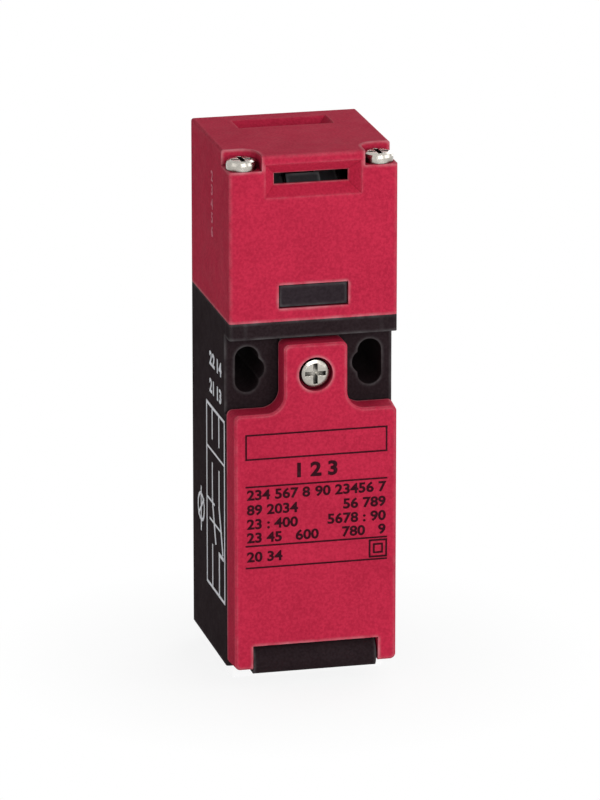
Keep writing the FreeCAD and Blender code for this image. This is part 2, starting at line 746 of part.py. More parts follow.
def at_inner_corner(near):
    """Chooses the upright edge of a notch that lies inside the head."""
    x = value(near)
    y = value("front_screws + notch_radius")
    return lambda start, end: upright(start, end) and abs(start.x - x) < 0.01 and abs(start.y - y) < 0.01


def make_head_frame():
    """The black frame in the head: base plate, spigot, cheeks for the axle, rod guide and catches."""
    axis = ("0", "turret_axis")
    cam_axis = ("turret_axis", "cam_height")
    solids = [cylinder("frame_plate", "Z", axis, ("collar_top", "plate_top"), "plate_radius"),
              cylinder("frame_spigot", "Z", axis, ("collar_top - spigot_height", "collar_top"), "spigot_radius"),
              cylinder("frame_guide", "Z", axis, ("plate_top", "guide_top"), "guide_radius")]
    tools = [cylinder("frame_rod_bore", "Z", axis, (f"collar_top - {OVERRUN}", f"guide_top + {OVERRUN}"),
                      "rod_guide")]
    for side, sign in sides():
        inner, outer = f"{sign}cheek_inner", f"{sign}cheek_outer"
        across = (outer, inner) if sign else (inner, outer)
        solids.append(block(f"cheek_{side}", across,
                            ("turret_axis - cheek_radius", "turret_axis + cheek_radius"), ("plate_top", "cam_height")))
        solids.append(cylinder(f"cheek_top_{side}", "X", cam_axis, across, "cheek_radius"))
    tools.append(cylinder("axle_bore", "X", cam_axis, ("-half_case", "half_case"), "axle_radius"))
    catch_x = ("-window_half_width + catch_gap", "window_half_width - catch_gap")
    catch_top = "window_floor + window_height - catch_gap"
    ledge = "head_inside - catch_gap"
    for end, sign in (("front", "-"), ("back", "+")):
        tip = ordered(sign, f"turret_axis {sign} ({ledge})", f"turret_axis {sign} (half_case - catch_sink)")
        root = ordered(sign, f"turret_axis {sign} (plate_radius - catch_root)",
                       f"turret_axis {sign} ({ledge})")
        solids.append(block(f"catch_{end}", catch_x, tip, ("window_floor + catch_gap", catch_top)))
        solids.append(block(f"catch_root_{end}", catch_x, root,
                            ("plate_top - plate_thickness / 2", catch_top)))
    return cut("head_frame", fuse("frame_solid", *solids), *tools)


def ordered(sign, first, second):
    """Two places in rising order, when the sign says which way they run."""
    return (second, first) if sign == "-" else (first, second)


def cam_profile():
    """The working section: spiral lobe, clearance, and two notches a quarter turn apart."""
    centre_y, centre_z = value("turret_axis"), value("cam_height")
    tooth, start = value("tooth_radius"), value("spiral_start")
    lift, turn = value("cam_lift"), value("cam_turn")
    margin, relief_end, flank = value("lobe_margin"), value("relief_angle"), value("flank_angle")

    def point(angle, radius):
        """A point at an angle from straight down towards the back."""
        swing = math.radians(angle)
        return FreeCAD.Vector(0, centre_y + radius * math.sin(swing), centre_z - radius * math.cos(swing))

    def spiral(angle):
        return start - lift * angle / turn

    def arc(first, last, radius):
        middle = point((first + last) / 2, radius)
        return Part.Arc(point(first, radius), middle, point(last, radius)).toShape()

    def line(first, low, last, high):
        return Part.LineSegment(point(first, low), point(last, high)).toShape()

    angles = [-margin + (turn + 2 * margin) * step / LOBE_STEPS for step in range(LOBE_STEPS + 1)]
    lobe = Part.BSplineCurve()
    lobe.interpolate([point(angle, spiral(angle)) for angle in angles])
    low = spiral(turn + margin)
    edges = [lobe.toShape(), arc(turn + margin, relief_end, low)]
    edges.append(line(relief_end, low, relief_end + flank, tooth))
    half = math.degrees(math.asin(value("notch_mouth") / 2 / tooth))
    last = relief_end + flank
    fore = 180 + value("front_notch_angle")
    notch_bottom = tooth - value("key_notch_depth")
    inner = math.degrees(math.asin(value("notch_mouth") / 2 / notch_bottom))
    for middle in (fore - 90, fore):
        edges.append(arc(last, middle - half, tooth))
        edges.append(line(middle - half, tooth, middle - inner, notch_bottom))
        edges.append(line(middle - inner, notch_bottom, middle + inner, notch_bottom))
        edges.append(line(middle + inner, notch_bottom, middle + half, tooth))
        last = middle + half
    edges.append(arc(last, 360 - margin - flank, tooth))
    edges.append(line(360 - margin - flank, tooth, -margin, spiral(-margin)))
    return Part.Face(Part.Wire(Part.__sortEdges__(edges)))


def make_cam():
    """The cam drum, which the tongue turns: two plain ends and the toothed lobe between them."""
    disc = doc.addObject("Part::Feature", "cam_disc")
    half = value("disc_half_width")
    profile = cam_profile()
    profile.translate(FreeCAD.Vector(-half, 0, 0))
    disc.Shape = profile.extrude(FreeCAD.Vector(2 * half, 0, 0))
    disc.Placement = FreeCAD.Placement()
    centre = ("turret_axis", "cam_height")
    ends = []
    for side, sign in sides():
        inner, outer = f"{sign}disc_half_width", f"{sign}cam_half_width"
        ends.append(cylinder(f"cam_end_{side}", "X", centre, (outer, inner) if sign else (inner, outer),
                             "barrel_radius"))
    bore = cylinder("cam_bore", "X", centre, ("-half_case", "half_case"), "axle_radius + axle_gap")
    return cut("cam_drum", fuse("cam_solid", disc, *ends), bore)


def make_axle():
    axle = cylinder("cam_axle", "X", ("turret_axis", "cam_height"),
                    ("-(cheek_outer + 2 * clip_thickness)", "cheek_outer + 2 * clip_thickness"), "axle_radius")
    clips = []
    for side, sign in sides():
        inner, outer = f"{sign}cheek_outer", f"{sign}(cheek_outer + clip_thickness)"
        span = (outer, inner) if sign else (inner, outer)
        clips.append(ring(f"axle_clip_{side}", "X", ("turret_axis", "cam_height"), span, "clip_radius",
                          "axle_radius"))
    return axle, group("axle_clips", clips)


def make_inserts():
    """Brass inserts: four in the collar for the head screws, and one behind the cover's neck."""
    rings = []
    for side, sign in sides():
        for end, direction in (("front", "-"), ("back", "+")):
            rings.append(ring(f"turret_insert_{side}_{end}", "Z",
                              (f"{sign}screw_spread", f"turret_axis {direction} screw_spread"),
                              ("insert_floor", "collar_top"), "turret_insert_radius", "screw_radius + insert_gap"))
    cover_insert = ring("cover_screw_insert", "Y", ("0", "fixing_height"),
                        ("parting", "parting + cover_insert_length"),
                        "cover_insert_bore + insert_wall", "cover_insert_bore")
    return group("turret_inserts", rings), cover_insert


def make_screws():
    """All screws: two through the head, one in the cover, two in the block, four terminals."""
    head = [screw(f"head_screw_{side}", (f"{sign}screw_spread", "front_screws", "notch_floor", False),
                  "screw_head", "screw_head_height", "screw_radius", "notch_floor - insert_floor - screw_gap", True)
            for side, sign in sides()]
    cover = screw("cover_screw", ("0", "cover_seat", "fixing_height", True), "screw_head", "screw_head_height",
                  "screw_radius", "parting + cover_screw_bite - cover_seat", True)
    fixing = [screw(f"block_screw_{side}", (f"{sign}block_screw_x", "block_front", "block_screw_height", True),
                    "block_screw_head", "block_screw_head_height", "block_screw_radius",
                    "cavity_back + block_screw_bite - screw_gap - block_front")
              for side, sign in sides()]
    terminals = [screw(f"terminal_screw_{level}_{side}", (f"{sign}terminal_x", "clamp_front", height, True),
                       "terminal_head", "screw_head_height", "screw_radius",
                       "clamp_thickness + strip_thickness + front_half_depth - screw_gap")
                 for side, sign in sides()
                 for level, height in (("upper", "upper_terminal"), ("lower", "lower_terminal"))]
    return (group("head_screws", head), cover, group("block_screws", fixing),
            group("terminal_screws", terminals))


def make_seals():
    """Rubber seals: round the cover's hollow, under the head and round the push rod."""
    cover_seal = seal_ring("cover_seal", "groove_floor", "cover_back + seal_proud")
    head_seal = ring("head_seal", "Z", ("0", "turret_axis"), ("collar_top - head_seal_height", "collar_top"),
                     "head_seal_outer", "head_seal_inner")
    rod_seal = ring("plunger_seal", "Z", ("0", "turret_axis"), ("seal_seat", "socket_floor"),
                    "plunger_seal_radius", "rod_guide")
    retainer = ring("screw_retainer", "Y", ("0", "fixing_height"),
                    ("retainer_back - retainer_thickness", "retainer_back"),
                    "retainer_radius", "screw_radius + insert_gap")
    return cover_seal, head_seal, rod_seal, retainer


def make_block():
    """The two halves of the contact block, with the carrier's channel and the contact chamber."""
    across = ("-block_half_width", "block_half_width")
    height = ("block_bottom", "block_top")
    channel_x = ("-channel_half", "channel_half")
    channel_z = ("channel_floor", f"block_top + {OVERRUN}")
    chamber_x = ("-chamber_half_width", "chamber_half_width")
    chamber = (f"block_split - {LEAD}", "turret_axis + bridge_half_width + channel_gap")
    rear = block("rear_box", across, ("block_split", "cavity_back"), height)
    rear_tools = [block("rear_channel", channel_x, (f"block_split - {LEAD}", "carrier_back + channel_gap"),
                        channel_z),
                  block("rear_chamber", chamber_x, chamber, ("chamber_bottom", "chamber_top"))]
    front = block("front_box", across, ("block_front", "block_split"), height)
    plateau = block("front_plateau", ("-plateau_half_width", "plateau_half_width"),
                    ("block_front - plateau_depth", "block_front"),
                    ("lower_leg + strip_thickness + plateau_gap", "upper_leg - plateau_gap"))
    rib = block("front_rib", ("-rib_half_width", "rib_half_width"), ("block_front - rib_depth", "block_front"),
                height)
    front_tools = [block("front_channel", channel_x, ("carrier_front - channel_gap", f"block_split + {LEAD}"),
                         channel_z)]
    for side, sign in sides():
        place = (f"{sign}block_screw_x", "block_screw_height")
        rear_tools.append(cylinder(f"rear_screw_hole_{side}", "Y", place,
                                   (f"block_split - {LEAD}", f"cavity_back + {LEAD}"),
                                   "block_screw_radius + screw_gap"))
        front_tools.append(cylinder(f"front_screw_hole_{side}", "Y", place,
                                    (f"block_front - {LEAD}", f"block_split + {LEAD}"),
                                    "block_screw_radius + screw_gap"))
        for level, leg, terminal in contact_levels():
            front_tools.append(block(f"leg_slot_{level}_{side}", strip_span(sign, "leg_outer + insert_gap"),
                                     (f"block_front - {LEAD}", f"block_split + {LEAD}"),
                                     (f"{leg} - insert_gap", f"{leg} + strip_thickness + insert_gap")))
            front_tools.append(cylinder(f"terminal_hole_{level}_{side}", "Y", (f"{sign}terminal_x", terminal),
                                        (f"block_front - {LEAD}", f"block_split + {LEAD}"),
                                        "screw_radius + screw_gap"))
    return (cut("contact_block_rear", rear, *rear_tools),
            cut("contact_block_front", fuse("front_solid", front, plateau, rib), *front_tools))


def contact_levels():
    """The normally closed pair above and the normally open pair below."""
    return (("upper", "upper_leg", "upper_terminal"), ("lower", "lower_leg", "lower_terminal"))


def strip_span(sign, outer):
    """The width of a contact strip on one side, from its inner edge out."""
    inner = f"{sign}strip_inner"
    return (f"{sign}({outer})", inner) if sign else (inner, outer)


def make_fixed_contacts(name, level, leg, terminal, upwards):
    """Two brass strips: a terminal plate in front, a leg into the chamber and a contact rivet."""
    strips = []
    for side, sign in sides():
        label = f"{name}_{side}"
        top = f"{leg} + strip_thickness"
        plate_z = (leg, f"{leg} + strip_height") if upwards else (f"{top} - strip_height", top)
        plate = block(label + "_plate", strip_span(sign, "strip_outer"), ("strip_front", "block_front"), plate_z)
        tongue = block(label + "_leg", strip_span(sign, "leg_outer"), ("block_front", "strip_back"), (leg, top))
        rivet_z = (f"{leg} - rivet_height", leg) if upwards else (top, f"{top} + rivet_height")
        rivet = cylinder(label + "_rivet", "Z", (f"{sign}rivet_x", "turret_axis"), rivet_z, "rivet_radius")
        hole = cylinder(label + "_hole", "Y", (f"{sign}terminal_x", terminal),
                        (f"strip_front - {LEAD}", f"block_front + {LEAD}"), "screw_radius + screw_gap")
        strips.append(cut(label, fuse(label + "_solid", plate, tongue, rivet), hole))
    return group(name, strips)


def make_clamps():
    """A square pressure plate under each terminal screw."""
    clamps = []
    for side, sign in sides():
        for level, leg, terminal in contact_levels():
            label = f"terminal_clamp_{level}_{side}"
            middle = f"{sign}terminal_x"
            plate = block(label + "_plate", (f"{middle} - clamp_half_size", f"{middle} + clamp_half_size"),
                          ("clamp_front", "strip_front"),
                          (f"{terminal} - clamp_half_size", f"{terminal} + clamp_half_size"))
            clamps.append(cut(label, plate, cylinder(label + "_hole", "Y", (middle, terminal),
                                                     (f"clamp_front - {LEAD}", f"strip_front + {LEAD}"),
                                                     "screw_radius + screw_gap")))
    return group("terminal_clamps", clamps)


def make_carrier():
    """The moving carrier: a bar with a window for each bridge and a pocket for the return spring."""
    bar = block("carrier_bar", ("-carrier_half_width", "carrier_half_width"), ("carrier_front", "carrier_back"),
                ("carrier_bottom", "carrier_top"))
    room = "(bridge_half_width + channel_gap)"
    window_y = (f"turret_axis - {room}", f"turret_axis + {room}")
    through = ("-half_case", "half_case")
    tools = [block("closed_window_hole", through, window_y, ("closed_window", "closed_bridge + bridge_thickness")),
             block("open_window_hole", through, window_y, ("open_bridge", "open_window_top")),
             cylinder("spring_pocket", "Z", ("0", "turret_axis"), (f"carrier_bottom - {OVERRUN}", "pocket_top"),
                      "pocket_radius")]
    return cut("contact_carrier", bar, *tools)


def make_bridge(name, height, rivet_above):
    """A moving bridge with a contact rivet at each end."""
    bar = block(name + "_bar", ("-bridge_half_length", "bridge_half_length"),
                ("turret_axis - bridge_half_width", "turret_axis + bridge_half_width"),
                (height, f"{height} + bridge_thickness"))
    top = f"{height} + bridge_thickness"
    span = (top, f"{top} + bridge_rivet") if rivet_above else (f"{height} - bridge_rivet", height)
    rivets = [cylinder(f"{name}_rivet_{side}", "Z", (f"{sign}rivet_x", "turret_axis"), span, "rivet_radius")
              for side, sign in sides()]
    return fuse(name, bar, *rivets)


def spring_turn(name, low, reach):
    """One closed turn of square wire as a many-sided ring, reaching so far from the axis of the rod."""
    rims = []
    for label, radius, lead in (("outside", f"{reach} + wire_width / 2", 0),
                                ("inside", f"{reach} - wire_width / 2", LEAD)):
        rim = doc.addObject("Part::Prism", f"{name}_{label}")
        rim.Polygon = SPRING_SIDES
        bind(rim, "Circumradius", radius)
        bind(rim, "Height", f"wire_height + {2 * lead}")
        bind(rim, "Placement.Base.y", "turret_axis")
        bind(rim, "Placement.Base.z", f"{low} - {lead}")
        rims.append(rim)
    return cut(name, *rims)


def coil(name, low, high, radius, turns):
    """A spring drawn as closed turns that stand evenly between two seats."""
    count = int(round(value(turns)))
    pitch = f"(({high}) - ({low}) - wire_height) / {count - 1}"
    return [spring_turn(f"{name}_turn_{number + 1}", f"{low} + {pitch} * {number}", radius)
            for number in range(count)]


def make_springs():
    """The return spring under the carrier and a contact spring behind each bridge."""
    back = group("return_spring", coil("return_coil", "channel_floor", "pocket_top", "return_spring_radius",
                                       "return_spring_turns"))
    closed = coil("closed_coil", "closed_window", "closed_bridge", "contact_spring_radius",
                  "contact_spring_turns")
    opened = coil("open_coil", "open_bridge + bridge_thickness", "open_window_top",
                  "contact_spring_radius", "contact_spring_turns")
    return back, group("contact_springs", closed + opened)


def make_push_rod():
    """The push rod with a coned tip under the cam and its foot on the carrier."""
    middle = ("0", "turret_axis")
    stem = cylinder("rod_stem", "Z", middle, ("carrier_top", "rod_tip - rod_bevel"), "rod_radius")
    tip = cone("rod_tip_cone", middle, ("rod_tip - rod_bevel", "rod_tip"),
               "rod_radius", "rod_radius - rod_bevel")
    return fuse("push_rod", stem, tip)


def make_parts():
    """Every sub-part, in the order of assembly."""
    parts = [make_case(), make_cover(), make_head_shell(), make_head_frame(), make_cam()]
    parts += [*make_axle(), *make_inserts(), *make_screws(), *make_seals(), *make_block()]
    parts.append(make_fixed_contacts("fixed_contacts_nc", "upper", "upper_leg", "upper_terminal", True))
    parts.append(make_fixed_contacts("fixed_contacts_no", "lower", "lower_leg", "lower_terminal", False))
    parts.append(make_clamps())
    parts.append(make_carrier())
    parts.append(make_bridge("contact_bridge_nc", "closed_bridge", True))
    parts.append(make_bridge("contact_bridge_no", "open_bridge", False))
    parts += [*make_springs(), make_push_rod()]
    return parts


parts = make_parts()
doc.recompute()

for thing in doc.Objects:
    if "Invalid" in thing.State or "Error" in thing.State:
        raise RuntimeError(f"{thing.Name} failed: {thing.State}")
os.makedirs("parts", exist_ok=True)
for part in parts:
    part.Label = part.Name
    if part.Shape.isNull() or not part.Shape.isValid() or not part.Shape.Solids:
        raise RuntimeError(f"{part.Name} has no valid solid")
for part in parts:
    part.Shape.exportStep(f"parts/{part.Label}.step")
    print(f"{part.Label}: {len(part.Shape.Solids)} solid(s), {part.Shape.Volume:.1f} mm3")
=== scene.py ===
import json
import math

import bmesh
import bpy
from mathutils import Matrix, Vector


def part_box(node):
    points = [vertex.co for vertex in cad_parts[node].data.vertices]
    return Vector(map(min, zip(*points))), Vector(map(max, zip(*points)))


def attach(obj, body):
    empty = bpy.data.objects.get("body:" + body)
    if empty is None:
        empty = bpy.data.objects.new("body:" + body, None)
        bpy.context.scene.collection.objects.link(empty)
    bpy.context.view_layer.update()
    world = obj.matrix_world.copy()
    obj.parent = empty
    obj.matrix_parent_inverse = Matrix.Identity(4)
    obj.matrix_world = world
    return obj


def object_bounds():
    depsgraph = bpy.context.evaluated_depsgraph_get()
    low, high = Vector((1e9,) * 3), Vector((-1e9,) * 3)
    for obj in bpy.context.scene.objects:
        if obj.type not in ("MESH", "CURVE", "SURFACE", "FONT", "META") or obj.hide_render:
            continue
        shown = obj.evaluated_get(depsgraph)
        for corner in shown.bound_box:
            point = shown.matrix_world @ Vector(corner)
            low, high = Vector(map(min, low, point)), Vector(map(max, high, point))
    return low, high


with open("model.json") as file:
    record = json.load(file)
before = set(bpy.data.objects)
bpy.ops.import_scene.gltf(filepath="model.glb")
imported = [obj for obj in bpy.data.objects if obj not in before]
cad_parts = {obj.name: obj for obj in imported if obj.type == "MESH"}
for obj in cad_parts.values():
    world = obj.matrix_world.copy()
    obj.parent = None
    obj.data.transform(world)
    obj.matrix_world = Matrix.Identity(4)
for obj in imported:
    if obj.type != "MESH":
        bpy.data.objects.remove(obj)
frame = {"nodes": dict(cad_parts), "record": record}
CAD_BOX = [list(corner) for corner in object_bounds()]
MM = 0.001


def corners(node):
    """A node's lowest and highest corners at rest, as two vectors."""
    low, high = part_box(node)
    return Vector(low), Vector(high)


CASE_LOW, CASE_HIGH = corners("body_case")
COVER_FRONT = corners("front_cover")[0].y
HEAD_LEFT = corners("head_shell")[0].x
RIGHT = Vector((1, 0, 0))
FORWARD = Vector((0, -1, 0))
UP = Vector((0, 0, 1))
WHITE = (1.0, 1.0, 1.0, 1.0)


def shade(colour, factor=1.0, lift=0.0):
    """A colour made darker or lighter by a factor and a lift, with full opacity."""
    return [min(1.0, channel * factor + lift) for channel in colour] + [1.0]


# Node helpers

BEVEL_SAMPLES = 6
HOLLOW_SAMPLES = 12


class Nodes:
    """Short calls for building one material's node tree."""

    def __init__(self, name):
        self.material = bpy.data.materials.new(name)
        self.material.use_nodes = True
        self.tree = self.material.node_tree
        self.shader = self.tree.nodes["Principled BSDF"]
        self.place = self.tree.nodes.new("ShaderNodeTexCoord").outputs["Object"]

    def add(self, kind, **settings):
        node = self.tree.nodes.new("ShaderNode" + kind)
        for name, setting in settings.items():
            setattr(node, name, setting)
        return node

    def link(self, source, target):
        self.tree.links.new(source, target)

    def fill(self, socket, source):
        """Feed a socket from another socket, or set its number or colour."""
        if isinstance(source, bpy.types.NodeSocket):
            self.link(source, socket)
        else:
            socket.default_value = source

    def noise(self, scale, detail=3.0, roughness=0.5, place=None):
        node = self.add("TexNoise")
        node.inputs["Scale"].default_value = scale
        node.inputs["Detail"].default_value = detail
        node.inputs["Roughness"].default_value = roughness
        self.link(place or self.place, node.inputs["Vector"])
        return node.outputs["Fac"]

    def math(self, operation, first, second=0.0, clamp=False):
        node = self.add("Math", operation=operation, use_clamp=clamp)
        self.fill(node.inputs[0], first)
        self.fill(node.inputs[1], second)
        return node.outputs[0]

    def range(self, source, low, high, to_low, to_high):
        node = self.add("MapRange")
        for name, entry in (("Value", source), ("From Min", low), ("From Max", high),
                            ("To Min", to_low), ("To Max", to_high)):
            self.fill(node.inputs[name], entry)
        return node.outputs["Result"]

    def mix(self, factor, first, second):
        node = self.add("Mix", data_type="RGBA")
        self.fill(node.inputs["Factor"], factor)
        self.fill(node.inputs[6], first)
        self.fill(node.inputs[7], second)
        return node.outputs[2]

    def apart(self):
        """The X, Y and Z of the place on the object."""
        node = self.add("SeparateXYZ")
        self.link(self.place, node.inputs[0])
        return node.outputs

    def reach(self, across, along):
        """How far two distances take a point from an upright axis."""
        squares = [self.math("MULTIPLY", distance, distance) for distance in (across, along)]
        return self.math("SQRT", self.math("ADD", *squares))

    def bump(self, height, distance, strength, normal):
        node = self.add("Bump")
        node.inputs["Strength"].default_value = strength
        node.inputs["Distance"].default_value = distance
        self.link(height, node.inputs["Height"])
        self.link(normal, node.inputs["Normal"])
        return node.outputs["Normal"]

    def bevel(self, radius):
        node = self.add("Bevel", samples=BEVEL_SAMPLES)
        node.inputs["Radius"].default_value = radius
        return node.outputs["Normal"]

    def edges(self, reach, low, high):
        """High along the outer edges, where the next face is close behind the surface."""
        node = self.add("AmbientOcclusion", samples=HOLLOW_SAMPLES, inside=True, only_local=True)
        node.inputs["Distance"].default_value = reach
        return self.range(node.outputs["AO"], low, high, 1.0, 0.0)

    def crevice(self, reach, low, high):
        """High in recesses and corners, where light doesn't reach: the mask for painted shade."""
        node = self.add("AmbientOcclusion", samples=HOLLOW_SAMPLES)
        node.inputs["Distance"].default_value = reach
        return self.range(node.outputs["AO"], low, high, 1.0, 0.0)


# Materials: noise scales are per metre, depths and reaches in metres

PLASTIC_SHINE = 0.03
PLASTIC_EDGE = 0.00012
GRAIN_SCALE = 5200.0
GRAIN_STRENGTH = 0.6
SPOT_SCALE = 2300.0
CLOUD_SCALE = 90.0
STREAK_SCALE = 420.0
SPOT_SHARE = 0.6
SPOT_DARKER = 0.2
SPOT_LIGHTER = 0.14
SPOT_LIFT = 0.004
SPOT_HEIGHT = 1.4
# Painted highlight: a paler band along the outer edges, standing for light caught by their small chamfers
EDGE_REACH = 0.0007
EDGE_LOW = 0.6
EDGE_HIGH = 0.95
# Painted shade: the colour darkened in corners and recesses, where light doesn't reach
CORNER_SHADE_REACH = 0.0006
CORNER_SHADE_LOW = 0.25
CORNER_SHADE_HIGH = 0.9
CORNER_SHADE_DEPTH = 0.75
CORNER_SHADE_SHARE = 0.1


def moulded(name, colour, roughness, grain=0.00002, pale=0.12, shine=PLASTIC_SHINE, mottle=1.0):
    """Moulded plastic: spotted grain, faint cloudiness, uneven gloss, painted highlights along the edges
    and painted shade in corners and recesses.
    """
    build = Nodes(name)
    dark = shade(colour, 1.0 - SPOT_DARKER * mottle)
    light = shade(colour, 1.0 + SPOT_LIGHTER * mottle, SPOT_LIFT)
    shadow = shade(colour, CORNER_SHADE_SHARE)
    # The colour of the painted edge highlight
    edge_highlight = shade(colour, 1.0 - pale, pale)
    cloud = build.range(build.noise(CLOUD_SCALE, 4.0, 0.6), 0.3, 0.7, 0.0, 1.0 - SPOT_SHARE)
    spots = build.range(build.noise(SPOT_SCALE, 2.0), 0.35, 0.65, 0.0, SPOT_SHARE)
    base = build.mix(build.math("ADD", cloud, spots, clamp=True), dark, light)
    # Painted highlight along the outer edges, made uneven by a noise
    edge = build.edges(EDGE_REACH, EDGE_LOW, EDGE_HIGH)
    highlight_breakup = build.range(build.noise(STREAK_SCALE, 3.0), 0.35, 0.65, 0.25, 0.9)
    base = build.mix(build.math("MULTIPLY", edge, highlight_breakup), base, edge_highlight)
    # Painted shade in corners and recesses
    corner_shade = build.math("MULTIPLY", build.crevice(CORNER_SHADE_REACH, CORNER_SHADE_LOW, CORNER_SHADE_HIGH), CORNER_SHADE_DEPTH)
    build.link(build.mix(corner_shade, base, shadow), build.shader.inputs["Base Color"])
    gloss = build.range(build.noise(STREAK_SCALE, 3.0), 0.3, 0.7, roughness - 0.05, roughness + 0.07)
    build.link(gloss, build.shader.inputs["Roughness"])
    grained = build.math("ADD", build.noise(GRAIN_SCALE, 2.0),
                         build.math("MULTIPLY", build.noise(SPOT_SCALE, 2.0), SPOT_HEIGHT))
    relief = build.bump(grained, grain, GRAIN_STRENGTH, build.bevel(PLASTIC_EDGE))
    build.link(relief, build.shader.inputs["Normal"])
    build.shader.inputs["Specular IOR Level"].default_value = shine
    return build


def threaded(build, centre, radius, top, pitch):
    """The turns of a screw thread on the wall of an upright bore, as a height."""
    x, y, z = build.apart()
    across = build.math("SUBTRACT", x, centre[0])
    along = build.math("SUBTRACT", y, centre[1])
    inside = build.math("LESS_THAN", build.reach(across, along), radius)
    below = build.math("LESS_THAN", z, top)
    swing = build.math("DIVIDE", build.math("ARCTAN2", along, across), math.tau)
    phase = build.math("FRACT", build.math("ADD", build.math("DIVIDE", z, pitch), swing))
    ridge = build.math("PINGPONG", phase, 0.5)
    return build.math("MULTIPLY", ridge, build.math("MULTIPLY", inside, below))


METAL_PATCH_SCALE = 260.0
METAL_DULL_SHARE = 0.72
METAL_POLISH_SCALE = 1400.0
METAL_LINE_SCALE = 2600.0
METAL_LINE_STRETCH = 9.0
METAL_SCRATCHES = 0.000003
METAL_EDGE = 0.00008
# Painted shade in the metal's hollows, such as the screws' cross recesses
RECESS_SHADE_REACH = 0.0015
RECESS_SHADE_LOW = 0.22
RECESS_SHADE_HIGH = 0.85
RECESS_SHADE_SHARE = 0.05


def metal(name, colour, roughness):
    """Plated or turned metal with fine scratches and painted shade in its hollows."""
    build = Nodes(name)
    dull = shade(colour, METAL_DULL_SHARE)
    patch = build.range(build.noise(METAL_PATCH_SCALE, 5.0, 0.65), 0.35, 0.65, 0.0, 1.0)
    base = build.mix(patch, dull, shade(colour))
    # Painted shade: the colour darkened in the hollows
    painted_shade_colour = shade(colour, RECESS_SHADE_SHARE)
    painted_shade_mask = build.crevice(RECESS_SHADE_REACH, RECESS_SHADE_LOW, RECESS_SHADE_HIGH)
    build.link(build.mix(painted_shade_mask, base, painted_shade_colour), build.shader.inputs["Base Color"])
    build.shader.inputs["Metallic"].default_value = 1.0
    polish = build.range(build.noise(METAL_POLISH_SCALE, 4.0), 0.3, 0.7, roughness * 0.7, roughness * 1.5)
    build.link(polish, build.shader.inputs["Roughness"])
    stretch = build.add("Mapping")
    stretch.inputs["Scale"].default_value = (1.0, METAL_LINE_STRETCH, 1.0)
    build.link(build.place, stretch.inputs["Vector"])
    lines = build.noise(METAL_LINE_SCALE, 2.0, 0.5, stretch.outputs["Vector"])
    relief = build.bump(lines, METAL_SCRATCHES, 0.5, build.bevel(METAL_EDGE))
    build.link(relief, build.shader.inputs["Normal"])
    return build


RUBBER_BLOOM_SCALE = 700.0
RUBBER_BLOOM_LIFT = 0.05
RUBBER_GRAIN_SCALE = 3000.0
RUBBER_GRAIN = 0.00002
RUBBER_EDGE = 0.00015
RUBBER_ROUGHNESS = 0.78


def soft_rubber(name, colour):
    """Matt black rubber with a bloom on it."""
    build = Nodes(name)
    bloom = build.range(build.noise(RUBBER_BLOOM_SCALE, 5.0, 0.7), 0.45, 0.75, 0.0, 0.5)
    grey = shade(colour, 1.0, RUBBER_BLOOM_LIFT)
    build.link(build.mix(bloom, shade(colour), grey), build.shader.inputs["Base Color"])
    build.shader.inputs["Roughness"].default_value = RUBBER_ROUGHNESS
    grain = build.noise(RUBBER_GRAIN_SCALE, 2.0)
    relief = build.bump(grain, RUBBER_GRAIN, 0.5, build.bevel(RUBBER_EDGE))
    build.link(relief, build.shader.inputs["Normal"])
    return build


INK_THIN_SCALE = 1800.0
INK_FADE_SHARE = 0.6
INK_FADE_LIFT = 0.03
INK_ROUGHNESS = 0.55


def ink(name, colour):
    """Pad-printed ink, a little thin in places."""
    build = Nodes(name)
    thin = build.range(build.noise(INK_THIN_SCALE, 3.0, 0.6), 0.5, 0.75, 0.0, 0.35)
    faded = shade(colour, INK_FADE_SHARE, INK_FADE_LIFT)
    build.link(build.mix(thin, shade(colour), faded), build.shader.inputs["Base Color"])
    build.shader.inputs["Roughness"].default_value = INK_ROUGHNESS
    build.shader.inputs["Specular IOR Level"].default_value = PLASTIC_SHINE
    return build


# The materials themselves, and the cable entry's thread in metres

ENTRY_CENTRE = (0.0, 0.0024)
ENTRY_RADIUS = 0.0076
ENTRY_TOP = 0.0101
ENTRY_PITCH = 0.0015
THREAD_DEPTH = 0.0009

black = moulded("black_plastic", (0.019, 0.0115, 0.0135), 0.8, grain=0.00003, pale=0.06, shine=0.012)
thread = threaded(black, ENTRY_CENTRE, ENTRY_RADIUS, ENTRY_TOP, ENTRY_PITCH)
grain_bump = black.shader.inputs["Normal"].links[0].from_socket
black.link(black.bump(thread, THREAD_DEPTH, 1.0, grain_bump), black.shader.inputs["Normal"])

MATERIALS = {
    "red_plastic": moulded("red_plastic", (0.45, 0.018, 0.052), 0.68, pale=0.17),
    "black_plastic": black,
    "frame_plastic": moulded("frame_plastic", (0.022, 0.015, 0.019), 0.55, pale=0.05),
    "cam_plastic": moulded("cam_plastic", (0.06, 0.06, 0.065), 0.28, mottle=0.5),
    "block_plastic": moulded("block_plastic", (0.66, 0.63, 0.56), 0.45, mottle=0.35),
    "carrier_plastic": moulded("carrier_plastic", (0.42, 0.09, 0.03), 0.4, mottle=0.5),
    "nickel": metal("nickel", (0.52, 0.49, 0.44), 0.22),
    "steel": metal("steel", (0.56, 0.56, 0.57), 0.3),
    "brass": metal("brass", (0.74, 0.56, 0.24), 0.3),
    "contact_metal": metal("contact_metal", (0.78, 0.68, 0.46), 0.28),
    "rubber": soft_rubber("rubber", (0.03, 0.03, 0.03)),
}
for subpart in frame["record"]["subparts"]:
    for slot in frame["nodes"][subpart["node"]].material_slots:
        slot.material = MATERIALS[subpart["material_slot"]].material

